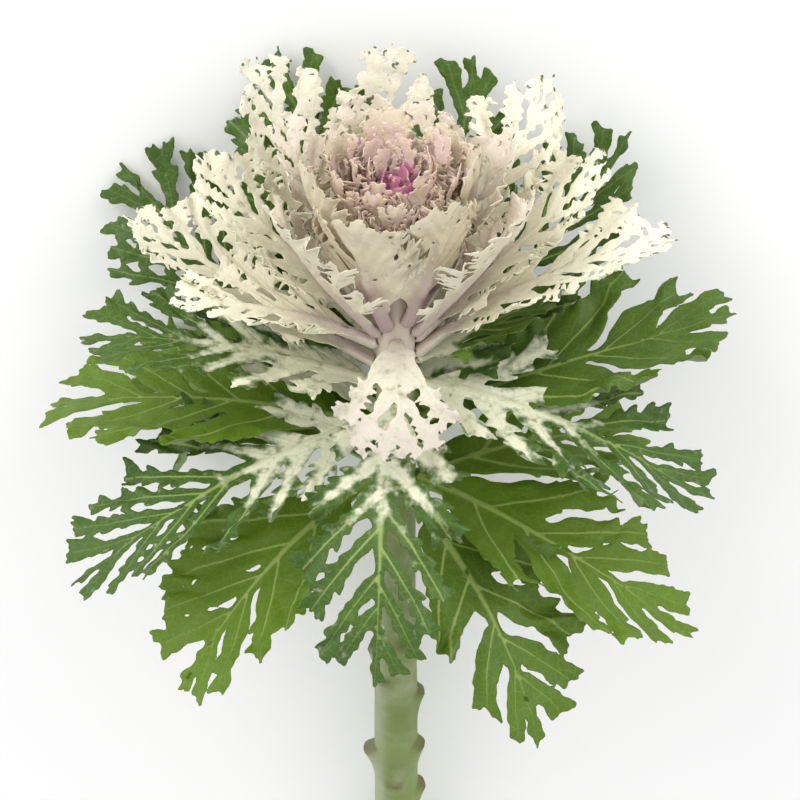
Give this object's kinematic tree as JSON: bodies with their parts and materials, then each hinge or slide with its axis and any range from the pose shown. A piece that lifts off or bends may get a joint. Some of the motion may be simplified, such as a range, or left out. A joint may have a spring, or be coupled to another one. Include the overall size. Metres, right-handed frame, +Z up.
{
  "type": "ornamental kale",
  "caption": "Cut ornamental kale lying on its side: a pale stem with a rosette of feathered leaves, green outside, cream white inside and pink at the heart.",
  "frame": {"origin": "middle of the plant's box, on the surface that it lies on", "axes": "+Y along the laid stem from its cut end to the heart, +Z up, +X to the right of the rosette's face"},
  "size_m": [0.2484, 0.4146, 0.1384],
  "materials": {
    "stem": "satin",
    "lower_leaf": "satin",
    "feather_leaf": "satin",
    "white_leaf": "satin",
    "frill_leaf": "satin",
    "cup_leaf": "satin",
    "heart_leaf": "satin"
  },
  "bodies": {
    "root": {"stem": "stem", "lower_leaf_front_left": "lower_leaf", "lower_leaf_front_right": "lower_leaf", "lower_leaf_right": "lower_leaf", "lower_leaf_left": "lower_leaf", "lower_leaf_far_right": "lower_leaf", "lower_leaf_under_right": "lower_leaf", "lower_leaf_under_left": "lower_leaf", "lower_leaf_under_back_left": "lower_leaf", "lower_leaf_under_back_right": "lower_leaf", "lower_leaf_under_back": "lower_leaf", "feather_leaf_low_left": "feather_leaf", "feather_leaf_front": "feather_leaf", "feather_leaf_right": "feather_leaf", "feather_leaf_left": "feather_leaf", "feather_leaf_upper_left_dark": "feather_leaf", "feather_leaf_upper_left": "feather_leaf", "feather_leaf_upper_right": "feather_leaf", "feather_leaf_small_right": "feather_leaf", "feather_leaf_back_left": "feather_leaf", "feather_leaf_back_right": "feather_leaf", "white_leaf_left_vein": "white_leaf", "white_leaf_left": "white_leaf", "white_leaf_low_right": "white_leaf", "white_leaf_right": "white_leaf", "white_leaf_upper_left": "white_leaf", "white_leaf_front": "white_leaf", "white_leaf_upper_right": "white_leaf", "white_leaf_back_left": "white_leaf", "white_leaf_back": "white_leaf", "frill_leaf_right": "frill_leaf", "frill_leaf_upper_right": "frill_leaf", "frill_leaf_back_right": "frill_leaf", "frill_leaf_back_left": "frill_leaf", "frill_leaf_upper_left": "frill_leaf", "frill_leaf_left": "frill_leaf", "cup_leaf_front_left": "cup_leaf", "cup_leaf_front_right": "cup_leaf", "cup_leaf_right": "cup_leaf", "cup_leaf_back_right": "cup_leaf", "cup_leaf_back": "cup_leaf", "cup_leaf_back_left": "cup_leaf", "cup_leaf_left": "cup_leaf", "heart_leaf_1": "heart_leaf", "heart_leaf_2": "heart_leaf", "heart_leaf_3": "heart_leaf", "heart_leaf_4": "heart_leaf", "heart_leaf_5": "heart_leaf", "heart_leaf_6": "heart_leaf", "heart_leaf_7": "heart_leaf", "heart_leaf_8": "heart_leaf", "heart_leaf_9": "heart_leaf"}
  },
  "joints": []
}
